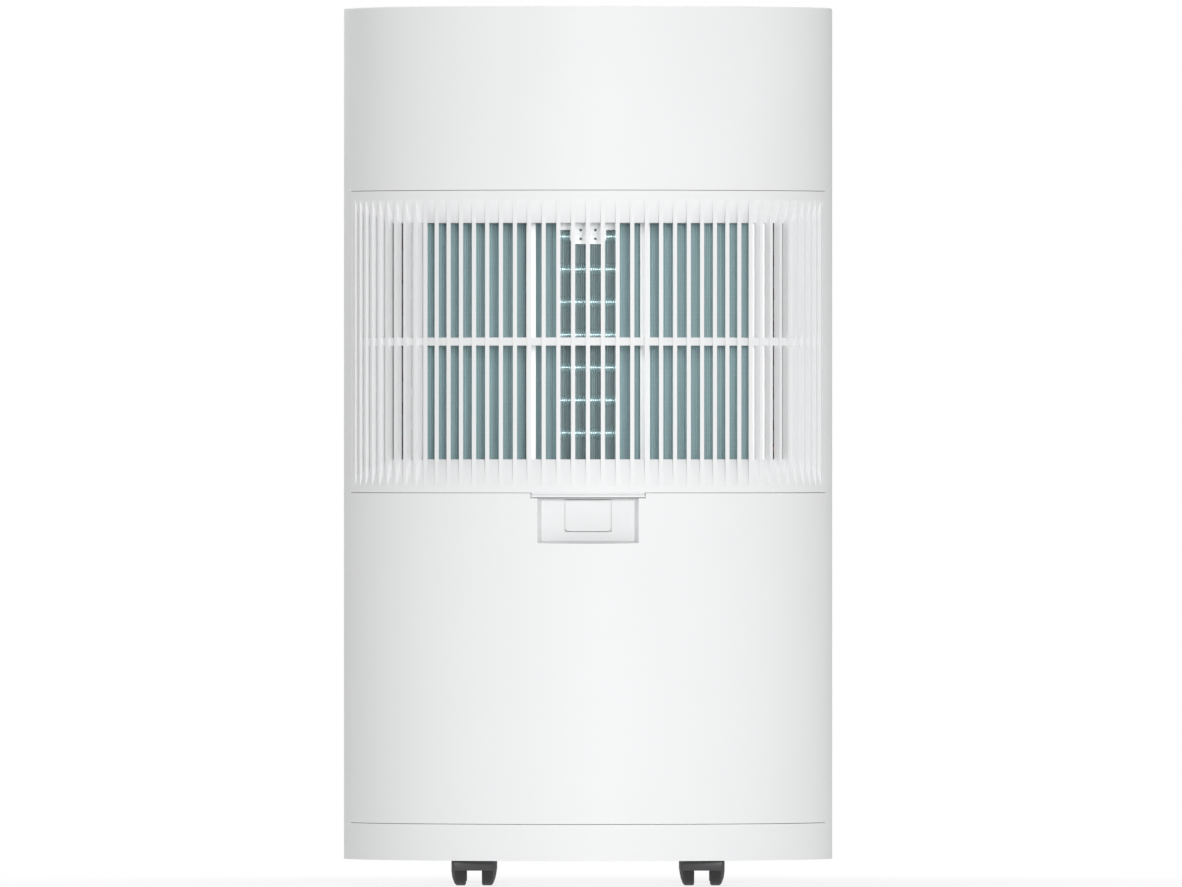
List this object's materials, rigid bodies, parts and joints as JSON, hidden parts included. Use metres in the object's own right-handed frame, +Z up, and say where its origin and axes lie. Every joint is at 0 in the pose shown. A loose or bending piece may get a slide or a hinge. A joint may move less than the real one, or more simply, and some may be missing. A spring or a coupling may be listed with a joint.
{
  "type": "portable air conditioner",
  "caption": "Upright cylindrical room air conditioner on twin-wheel casters, with a slatted rear intake panel, a finger pull, front louvers and a side exhaust port.",
  "frame": {"origin": "on the floor, under the middle of the cylinder", "axes": "+Z up; the front, with the air outlet, faces -Y; the intake grille faces +Y"},
  "size_m": [0.38, 0.38, 0.681],
  "materials": {
    "casing_white": "smooth satin white",
    "grille_white": "smooth satin white",
    "inner_white": "satin white",
    "mesh": "fine woven mesh",
    "coated_fin": "blue-green hydrophilic coating",
    "bare_fin": "mill finish",
    "copper": "bright copper tube",
    "galvanised": "zinc coated",
    "blower_plastic": "moulded dark grey",
    "foam_white": "expanded foam, matt",
    "motor_steel": "painted steel",
    "compressor_black": "black enamel",
    "rubber_black": "matt",
    "bolt_steel": "zinc plated",
    "lens_dark": "smoked, glossy",
    "key_grey": "satin grey",
    "board_green": "solder mask",
    "caster_hood": "semi-gloss dark grey",
    "caster_wheel": "matt black",
    "float_foam": "foam"
  },
  "bodies": {
    "cabinet": {"base_pan": "casing_white", "rear_shell": "casing_white", "front_shell": "casing_white", "top_cover": "casing_white", "lower_rear_panel": "casing_white", "evaporator_fins": "coated_fin", "evaporator_tubes": "copper", "evaporator_end_plates": "galvanised", "sensor_bracket": "inner_white", "partition_deck": "inner_white", "air_divider": "foam_white", "blower_scroll": "foam_white", "blower_motor": "motor_steel", "outlet_duct": "inner_white", "swing_motor": "motor_steel", "compressor": "compressor_black", "compressor_grommets": "rubber_black", "compressor_bolts": "bolt_steel", "condenser_fins": "bare_fin", "condenser_tubes": "copper", "condenser_end_plates": "galvanised", "exhaust_scroll": "inner_white", "exhaust_motor": "motor_steel", "exhaust_collar": "inner_white", "refrigerant_pipes": "copper", "control_box": "galvanised", "cord_gland": "rubber_black", "control_lens": "lens_dark", "control_board": "board_green", "float_stem": "inner_white", "deck_posts": "galvanised", "screws": "bolt_steel"},
    "grille": {"rear_grille": "grille_white", "filter_frame": "inner_white", "filter_screen": "mesh"},
    "latch": {"latch_tab": "casing_white"},
    "louver_tie": {"louver_link": "inner_white"},
    "vane_tie": {"vane_link": "inner_white"},
    "blower": {"blower_wheel": "blower_plastic"},
    "exhaust_fan": {"exhaust_wheel": "blower_plastic"},
    "float": {"float_ring": "float_foam"},
    "plug": {"drain_plug": "rubber_black"},
    "louver_1": {"louver_1": "grille_white"},
    "caster_1": {"caster_hood_1": "caster_hood"},
    "wheels_1": {"caster_wheels_1": "caster_wheel"},
    "louver_2": {"louver_2": "grille_white"},
    "caster_2": {"caster_hood_2": "caster_hood"},
    "wheels_2": {"caster_wheels_2": "caster_wheel"},
    "louver_3": {"louver_3": "grille_white"},
    "caster_3": {"caster_hood_3": "caster_hood"},
    "wheels_3": {"caster_wheels_3": "caster_wheel"},
    "louver_4": {"louver_4": "grille_white"},
    "caster_4": {"caster_hood_4": "caster_hood"},
    "wheels_4": {"caster_wheels_4": "caster_wheel"},
    "vane_1": {"vane_1": "inner_white"},
    "key_1": {"key_1": "key_grey"},
    "vane_2": {"vane_2": "inner_white"},
    "key_2": {"key_2": "key_grey"},
    "vane_3": {"vane_3": "inner_white"},
    "key_3": {"key_3": "key_grey"}
  },
  "joints": [
    {"name": "grille_pull", "type": "slide", "parent": "cabinet", "child": "grille", "axis": [0, 1, 0], "range_m": [0, 0.06]},
    {"name": "latch_press", "type": "hinge", "parent": "cabinet", "child": "latch", "pos_m": [0, 0.1705, 0.279], "axis": [1, 0, 0], "range_deg": [0, 6], "stiffness_Nm_per_rad": 0.05, "springref_deg": -8.59},
    {"name": "blower_spin", "type": "hinge", "parent": "cabinet", "child": "blower", "pos_m": [0, 0, 0.425], "axis": [0, 1, 0], "continuous": true},
    {"name": "exhaust_spin", "type": "hinge", "parent": "cabinet", "child": "exhaust_fan", "pos_m": [-0.022, -0.05, 0.185], "axis": [0, 1, 0], "continuous": true},
    {"name": "float_rise", "type": "slide", "parent": "cabinet", "child": "float", "axis": [0, 0, 1], "range_m": [0, 0.011]},
    {"name": "drain_plug_pull", "type": "slide", "parent": "cabinet", "child": "plug", "axis": [0, 0, -1], "range_m": [0, 0.012]},
    {"name": "louver_tie_lift", "type": "slide", "parent": "cabinet", "child": "louver_tie", "axis": [0, 0, 1], "range_m": [-0.0038, 0.0038]},
    {"name": "vane_tie_shift", "type": "slide", "parent": "cabinet", "child": "vane_tie", "axis": [1, 0, 0], "range_m": [-0.00386, 0.00386]},
    {"name": "louver_1_tilt", "type": "hinge", "parent": "cabinet", "child": "louver_1", "pos_m": [0, -0.15, 0.588], "axis": [1, 0, 0], "range_deg": [-28, 28]},
    {"name": "louver_2_tilt", "type": "hinge", "parent": "cabinet", "child": "louver_2", "pos_m": [0, -0.15, 0.606], "axis": [1, 0, 0], "range_deg": [-28, 28]},
    {"name": "louver_3_tilt", "type": "hinge", "parent": "cabinet", "child": "louver_3", "pos_m": [0, -0.15, 0.624], "axis": [1, 0, 0], "range_deg": [-28, 28]},
    {"name": "louver_4_tilt", "type": "hinge", "parent": "cabinet", "child": "louver_4", "pos_m": [0, -0.15, 0.642], "axis": [1, 0, 0], "range_deg": [-28, 28]},
    {"name": "vane_1_swing", "type": "hinge", "parent": "cabinet", "child": "vane_1", "pos_m": [-0.06, -0.112, 0.615], "axis": [0, 0, 1], "range_deg": [-25, 25]},
    {"name": "key_1_press", "type": "slide", "parent": "cabinet", "child": "key_1", "axis": [0, 0, -1], "range_m": [0, 0.0009], "stiffness_N_per_m": 1500, "springref_m": -0.0008},
    {"name": "vane_2_swing", "type": "hinge", "parent": "cabinet", "child": "vane_2", "pos_m": [0, -0.112, 0.615], "axis": [0, 0, 1], "range_deg": [-25, 25]},
    {"name": "key_2_press", "type": "slide", "parent": "cabinet", "child": "key_2", "axis": [0, 0, -1], "range_m": [0, 0.0009], "stiffness_N_per_m": 1500, "springref_m": -0.0008},
    {"name": "vane_3_swing", "type": "hinge", "parent": "cabinet", "child": "vane_3", "pos_m": [0.06, -0.112, 0.615], "axis": [0, 0, 1], "range_deg": [-25, 25]},
    {"name": "key_3_press", "type": "slide", "parent": "cabinet", "child": "key_3", "axis": [0, 0, -1], "range_m": [0, 0.0009], "stiffness_N_per_m": 1500, "springref_m": -0.0008},
    {"name": "caster_1_swivel", "type": "hinge", "parent": "cabinet", "child": "caster_1", "pos_m": [-0.0884, 0.118, 0.05], "axis": [0, 0, 1], "continuous": true},
    {"name": "caster_1_roll", "type": "hinge", "parent": "caster_1", "child": "wheels_1", "pos_m": [-0.0884, 0.129, 0.017], "axis": [1, 0, 0], "continuous": true},
    {"name": "caster_2_swivel", "type": "hinge", "parent": "cabinet", "child": "caster_2", "pos_m": [0.0884, 0.118, 0.05], "axis": [0, 0, 1], "continuous": true},
    {"name": "caster_2_roll", "type": "hinge", "parent": "caster_2", "child": "wheels_2", "pos_m": [0.0884, 0.129, 0.017], "axis": [1, 0, 0], "continuous": true},
    {"name": "caster_3_swivel", "type": "hinge", "parent": "cabinet", "child": "caster_3", "pos_m": [-0.0884, -0.118, 0.05], "axis": [0, 0, 1], "continuous": true},
    {"name": "caster_3_roll", "type": "hinge", "parent": "caster_3", "child": "wheels_3", "pos_m": [-0.0884, -0.107, 0.017], "axis": [1, 0, 0], "continuous": true},
    {"name": "caster_4_swivel", "type": "hinge", "parent": "cabinet", "child": "caster_4", "pos_m": [0.0884, -0.118, 0.05], "axis": [0, 0, 1], "continuous": true},
    {"name": "caster_4_roll", "type": "hinge", "parent": "caster_4", "child": "wheels_4", "pos_m": [0.0884, -0.107, 0.017], "axis": [1, 0, 0], "continuous": true}
  ],
  "couplings": [
    {"joint": "louver_tie_lift", "follows": "louver_1_tilt", "m_per_rad": 0.006825},
    {"joint": "vane_tie_shift", "follows": "vane_1_swing", "m_per_rad": -0.00882},
    {"joint": "louver_2_tilt", "follows": "louver_1_tilt", "ratio": 1},
    {"joint": "louver_3_tilt", "follows": "louver_1_tilt", "ratio": 1},
    {"joint": "louver_4_tilt", "follows": "louver_1_tilt", "ratio": 1},
    {"joint": "vane_2_swing", "follows": "vane_1_swing", "ratio": 1},
    {"joint": "vane_3_swing", "follows": "vane_1_swing", "ratio": 1}
  ]
}
